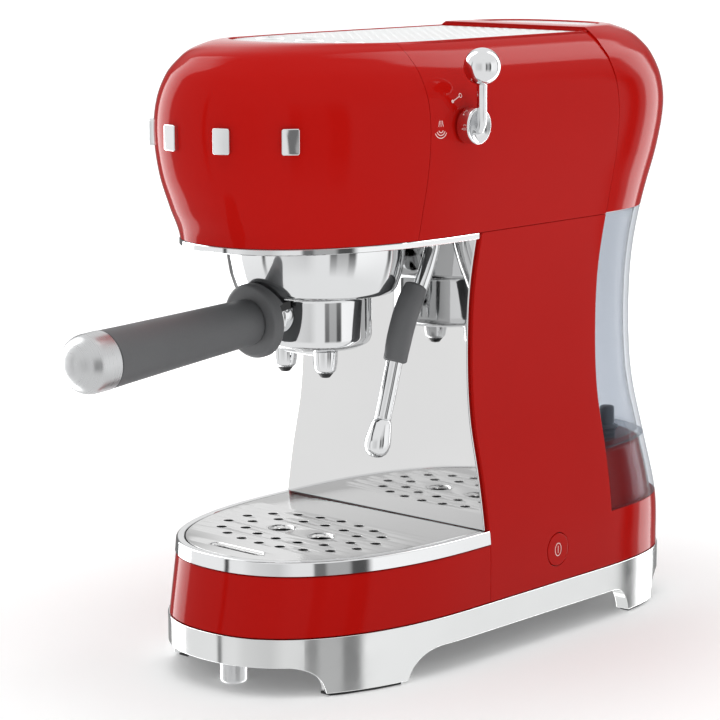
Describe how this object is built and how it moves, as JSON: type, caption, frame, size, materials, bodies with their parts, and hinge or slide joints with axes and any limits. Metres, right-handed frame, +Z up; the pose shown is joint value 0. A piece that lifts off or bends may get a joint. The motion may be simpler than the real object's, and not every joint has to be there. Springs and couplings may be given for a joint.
{
  "type": "espresso machine",
  "caption": "Compact pump espresso machine with waisted column, rounded head, filter holder, steam wand and lever, wrap-around water tank, pull-out drip tray and cup-warming top.",
  "frame": {"origin": "on the worktop, under the centre of the machine's bounding box with the filter holder locked in", "axes": "+Z up, the machine looks along -Y, its right side with the steam lever is +X"},
  "size_m": [0.1702, 0.4214, 0.3304],
  "materials": {
    "red_casing": "gloss red lacquered plastic and steel",
    "chrome": "polished chrome plate",
    "satin_metal": "satin chrome",
    "steel": "satin stainless steel",
    "grey_grip": "grey soft-touch plastic",
    "black_plastic": "black moulded plastic",
    "rubber": "black rubber",
    "tank": "clear smoke-tinted plastic",
    "brass": "machined brass",
    "aluminium": "cast aluminium",
    "white_plastic": "white plastic and silicone",
    "circuit_board": "green solder mask"
  },
  "bodies": {
    "machine": {"base_skirt": "chrome", "foot_pad_front_left": "rubber", "foot_pad_front_right": "rubber", "foot_pad_rear_left": "rubber", "foot_pad_rear_right": "rubber", "bottom_plate": "black_plastic", "front_support_foot": "satin_metal", "column_shell": "red_casing", "backsplash": "chrome", "head_shell": "red_casing", "head_front_cover": "red_casing", "head_trim": "chrome", "head_under_plate": "black_plastic", "control_panel": "steel", "cup_plate": "steel", "ready_lamp": "white_plastic", "keypad_board": "circuit_board", "tank_seat_ring": "rubber", "group_collar": "chrome", "group_head": "brass", "group_gasket": "rubber", "shower_screen": "steel", "bayonet_ring": "aluminium", "steam_valve": "brass", "power_switch": "black_plastic", "boiler": "aluminium", "pump": "black_plastic", "control_board": "circuit_board", "supply_hose": "white_plastic", "pressure_hose": "white_plastic", "cable_gland": "black_plastic"},
    "drip_tray": {"tray_shell": "red_casing", "tray_tub": "grey_grip", "tray_rim": "chrome"},
    "drip_grid": {"drip_grid": "steel"},
    "filter_holder": {"holder_body": "chrome", "filter_basket": "steel", "double_spout": "chrome", "spout_tip_left": "black_plastic", "spout_tip_right": "black_plastic", "holder_neck": "chrome", "handle_guard": "grey_grip", "neck_insulator": "black_plastic", "handle_grip": "grey_grip", "handle_end_cap": "satin_metal"},
    "steam_lever": {"lever_arm": "chrome", "lever_ball": "chrome"},
    "steam_wand": {"wand_joint": "chrome", "wand_pipe": "chrome", "wand_grip": "grey_grip", "wand_tube": "chrome", "wand_nozzle": "chrome"},
    "water_tank": {"water_tank": "tank", "tank_valve": "black_plastic"},
    "tank_lid": {"tank_lid": "red_casing", "lid_insert": "steel"},
    "one_cup_button": {"one_cup_button": "chrome"},
    "two_cup_button": {"two_cup_button": "chrome"},
    "steam_button": {"steam_button": "chrome"},
    "power_button": {"power_button": "chrome"}
  },
  "joints": [
    {"name": "tray_slide", "type": "slide", "parent": "machine", "child": "drip_tray", "axis": [0, -1, 0], "range_m": [0, 0.14]},
    {"name": "grid_lift", "type": "slide", "parent": "drip_tray", "child": "drip_grid", "axis": [0, 0, 1], "range_m": [0, 0.03]},
    {"name": "holder_lock", "type": "hinge", "parent": "machine", "child": "filter_holder", "pos_m": [-0.00975, -0.03683, 0.187], "axis": [0, 0, 1], "range_deg": [-45, 0]},
    {"name": "steam_lever_turn", "type": "hinge", "parent": "machine", "child": "steam_lever", "pos_m": [0.06515, -0.00433, 0.2862], "axis": [1, 0, 0], "range_deg": [0, 92]},
    {"name": "wand_swivel", "type": "hinge", "parent": "machine", "child": "steam_wand", "pos_m": [0.03525, 0.00467, 0.222], "axis": [0, 0, 1], "range_deg": [-8, 80]},
    {"name": "tank_lift", "type": "slide", "parent": "machine", "child": "water_tank", "axis": [0, 0, 1], "range_m": [0, 0.18]},
    {"name": "lid_lift", "type": "slide", "parent": "water_tank", "child": "tank_lid", "axis": [0, 0, 1], "range_m": [0, 0.04]},
    {"name": "power_press", "type": "slide", "parent": "machine", "child": "power_button", "axis": [-1, 0, 0], "range_m": [0, 0.003], "stiffness_N_per_m": 500},
    {"name": "one_cup_press", "type": "slide", "parent": "machine", "child": "one_cup_button", "axis": [0, 0, -1], "range_m": [0, 0.0015], "stiffness_N_per_m": 500},
    {"name": "two_cup_press", "type": "slide", "parent": "machine", "child": "two_cup_button", "axis": [0, 0, -1], "range_m": [0, 0.0015], "stiffness_N_per_m": 500},
    {"name": "steam_press", "type": "slide", "parent": "machine", "child": "steam_button", "axis": [0, 0, -1], "range_m": [0, 0.0015], "stiffness_N_per_m": 500}
  ]
}
